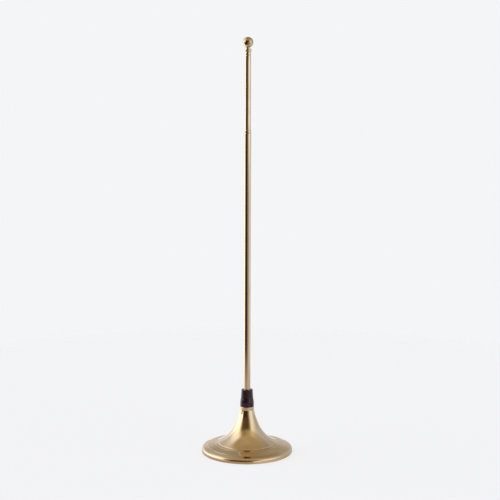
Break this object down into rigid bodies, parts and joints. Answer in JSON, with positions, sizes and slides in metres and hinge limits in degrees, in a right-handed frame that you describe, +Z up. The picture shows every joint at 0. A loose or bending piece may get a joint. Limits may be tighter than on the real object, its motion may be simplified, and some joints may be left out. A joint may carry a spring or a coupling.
{
  "type": "telescopic whip antenna",
  "caption": "Telescopic brass whip antenna with a ball tip and a dark ferrule, standing on a weighted trumpet-shaped foot of spun brass.",
  "frame": {"origin": "middle of the foot's underside, on the surface it stands on", "axes": "+Z up along the mast, +Y to the rear, where the lead-in wire enters, +X to the right seen from the front"},
  "size_m": [0.096, 0.096, 0.4338],
  "materials": {
    "spun_brass": "polished and lacquered spun brass",
    "mast_brass": "polished drawn brass",
    "turned_brass": "turned brass, unpolished",
    "ferrule": "glossy dark brown moulded plastic",
    "felt": "dark green felt",
    "cast_iron": "rough casting",
    "steel_plate": "black painted sheet steel",
    "plated_steel": "zinc plated steel",
    "tinned_brass": "tinned brass stamping",
    "fibre": "red vulcanised fibre",
    "rubber": "black rubber"
  },
  "bodies": {
    "base": {"base_shell": "spun_brass", "ballast_weight": "cast_iron", "bottom_plate": "steel_plate", "base_pad": "felt", "plate_screws": "plated_steel", "lead_grommet": "rubber", "shoulder_bush": "fibre", "flat_washer": "plated_steel", "solder_lug": "tinned_brass", "spring_washer": "plated_steel", "stud_nut": "plated_steel", "mast_plug": "turned_brass", "mast_ferrule": "ferrule", "mast_tube_1": "mast_brass"},
    "section_2": {"mast_tube_2": "mast_brass", "runner_2": "turned_brass", "contact_sleeve_2": "turned_brass"},
    "section_3": {"mast_tube_3": "mast_brass", "runner_3": "turned_brass", "contact_sleeve_3": "turned_brass"},
    "section_4": {"mast_tube_4": "mast_brass", "runner_4": "turned_brass", "contact_sleeve_4": "turned_brass"},
    "tip": {"tip_rod": "mast_brass", "tip_runner": "turned_brass", "contact_sleeve_5": "turned_brass", "tip_collar": "mast_brass", "tip_ball": "mast_brass"}
  },
  "joints": [
    {"name": "section_2_slide", "type": "slide", "parent": "base", "child": "section_2", "axis": [0, 0, 1], "range_m": [-0.078, 0.18]},
    {"name": "section_3_slide", "type": "slide", "parent": "section_2", "child": "section_3", "axis": [0, 0, 1], "range_m": [0, 0.25]},
    {"name": "section_4_slide", "type": "slide", "parent": "section_3", "child": "section_4", "axis": [0, 0, 1], "range_m": [0, 0.242]},
    {"name": "tip_slide", "type": "slide", "parent": "section_4", "child": "tip", "axis": [0, 0, 1], "range_m": [0, 0.234]}
  ]
}
